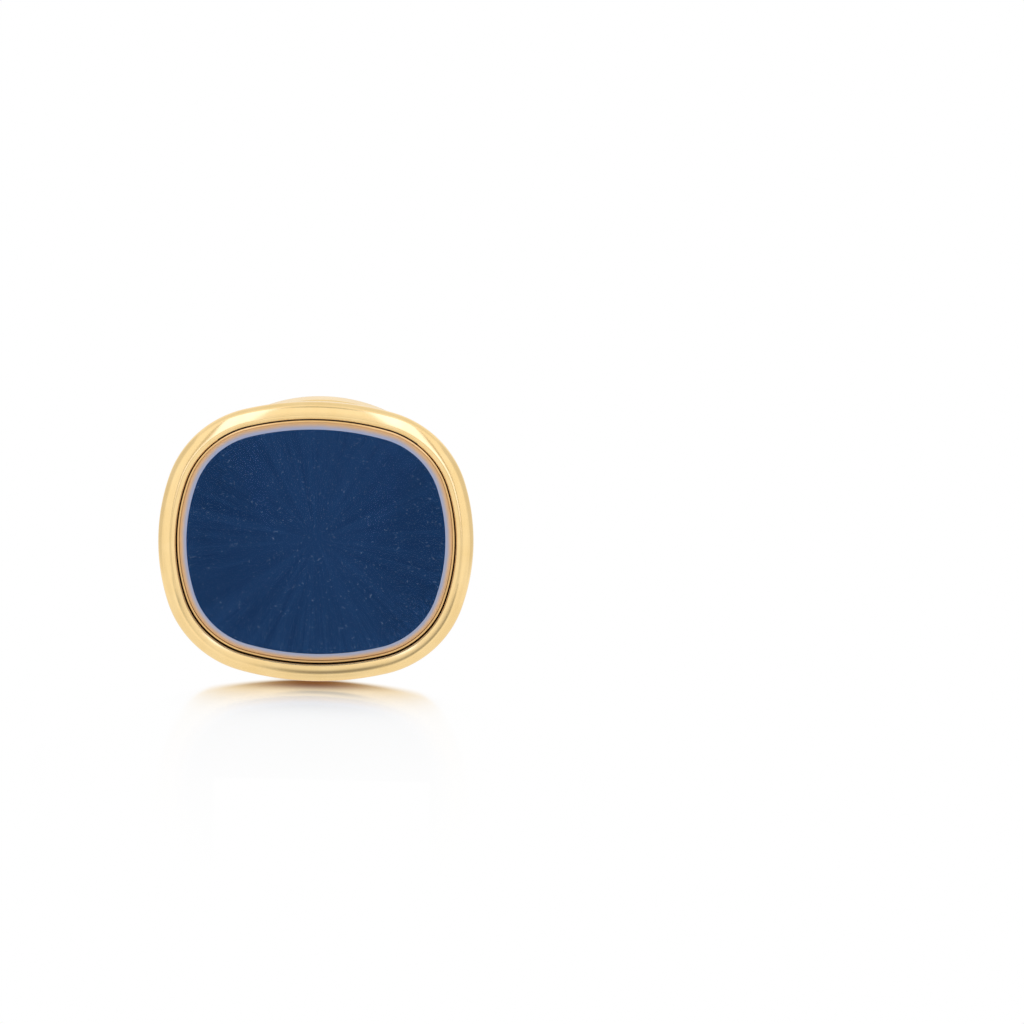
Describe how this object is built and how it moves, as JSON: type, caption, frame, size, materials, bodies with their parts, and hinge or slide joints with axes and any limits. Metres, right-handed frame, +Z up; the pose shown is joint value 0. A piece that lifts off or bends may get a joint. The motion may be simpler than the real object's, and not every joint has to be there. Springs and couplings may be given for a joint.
{
  "type": "cufflink",
  "caption": "Gold cufflink with a cushion-shaped beaded frame, a bevelled crystal over a blue sunburst dial, and an oval back that swings on a sprung hinge.",
  "frame": {"origin": "on the ground under the middle of the part's box, where it stands on the foot of its beaded frame and the foot of its oval back", "axes": "+X across the face to the viewer's right, +Y from the face back towards the oval back, +Z up; the post runs back along +Y and dips 11.159 degrees, as the cufflink leans when it stands on a table"},
  "size_m": [0.018, 0.0182, 0.0161],
  "materials": {
    "gold": "polished",
    "crystal": "polished",
    "dial": "radially brushed, clear lacquer",
    "pin_steel": "gold-plated, polished",
    "spring_steel": "rolled"
  },
  "bodies": {
    "head": {"outer_frame": "gold", "crystal_setting": "gold", "crystal": "crystal", "dial": "dial", "case_back": "gold", "post": "gold"},
    "oval_back": {"hinge_plate": "gold", "oval_shell": "gold", "hinge_pin": "pin_steel", "leaf_spring": "spring_steel", "spring_rivets": "spring_steel"}
  },
  "joints": [
    {"name": "oval_back_swing", "type": "hinge", "parent": "head", "child": "oval_back", "pos_m": [0, 0.00509, 0.00564], "axis": [0, 0.1935, 0.9811], "range_deg": [-90, 90], "deforming": ["leaf_spring"]}
  ]
}
